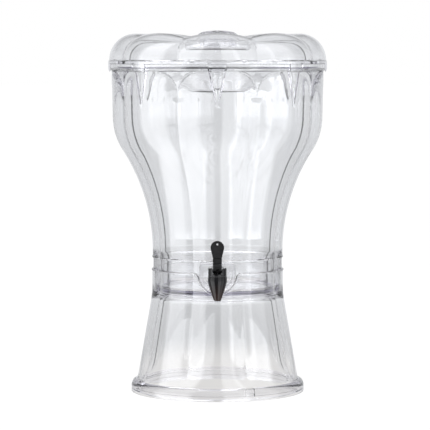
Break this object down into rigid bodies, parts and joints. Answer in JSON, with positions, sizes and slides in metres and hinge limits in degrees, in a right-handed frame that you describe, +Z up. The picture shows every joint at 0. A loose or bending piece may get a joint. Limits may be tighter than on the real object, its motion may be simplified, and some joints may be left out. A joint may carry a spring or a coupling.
{
  "type": "drink dispenser",
  "caption": "Clear drink dispenser: lobed tulip tank on a flared stand, domed lid with a knob, hanging ice bowl, and a black lever tap that opens when its lever is pulled forward.",
  "frame": {"origin": "on the floor, under the middle of the tank", "axes": "+Z up along the tank's axis, the tap points to -Y, +X to the right as seen from the front"},
  "size_m": [0.306, 0.306, 0.5064],
  "materials": {
    "clear_plastic": "clear, polished",
    "black_plastic": "gloss, moulded",
    "white_plastic": "satin, moulded",
    "black_rubber": "matt, moulded",
    "silicone": "matt, moulded",
    "steel": "plain stainless"
  },
  "bodies": {
    "stand": {"base_stand": "clear_plastic", "foot_ring": "clear_plastic"},
    "tank": {"tank": "clear_plastic", "tap_body": "black_plastic", "tap_bonnet": "black_plastic", "bonnet_gasket": "black_rubber", "stem_seal": "black_rubber", "outer_washer": "black_rubber", "inner_washer": "black_rubber", "shank_nut": "black_plastic", "return_spring": "steel"},
    "ice_bowl": {"ice_bowl": "clear_plastic"},
    "lid": {"lid": "clear_plastic", "lid_knob": "clear_plastic", "knob_screw": "clear_plastic"},
    "valve": {"valve_stem": "white_plastic", "seat_cup": "silicone", "lever_pin": "black_plastic"},
    "lever": {"tap_lever": "black_plastic"}
  },
  "joints": [
    {"name": "tank_lift", "type": "slide", "parent": "stand", "child": "tank", "axis": [0, 0, 1], "range_m": [0, 0.08]},
    {"name": "lid_lift", "type": "slide", "parent": "tank", "child": "lid", "axis": [0, 0, 1], "range_m": [0, 0.16]},
    {"name": "bowl_lift", "type": "slide", "parent": "tank", "child": "ice_bowl", "axis": [0, 0, 1], "range_m": [0, 0.08]},
    {"name": "stem_lift", "type": "slide", "parent": "tank", "child": "valve", "axis": [0, 0, 1], "range_m": [0, 0.0033], "deforming": ["return_spring"]},
    {"name": "lever_tilt", "type": "hinge", "parent": "valve", "child": "lever", "pos_m": [0, -0.135, 0.1805], "axis": [1, 0, 0], "range_deg": [0, 80], "stiffness_Nm_per_rad": 0.03, "springref_deg": -17.19}
  ],
  "couplings": [
    {"joint": "bowl_lift", "follows": "lid_lift", "ratio": 0.5},
    {"joint": "stem_lift", "follows": "lever_tilt", "m_per_rad": 0.0022918}
  ]
}
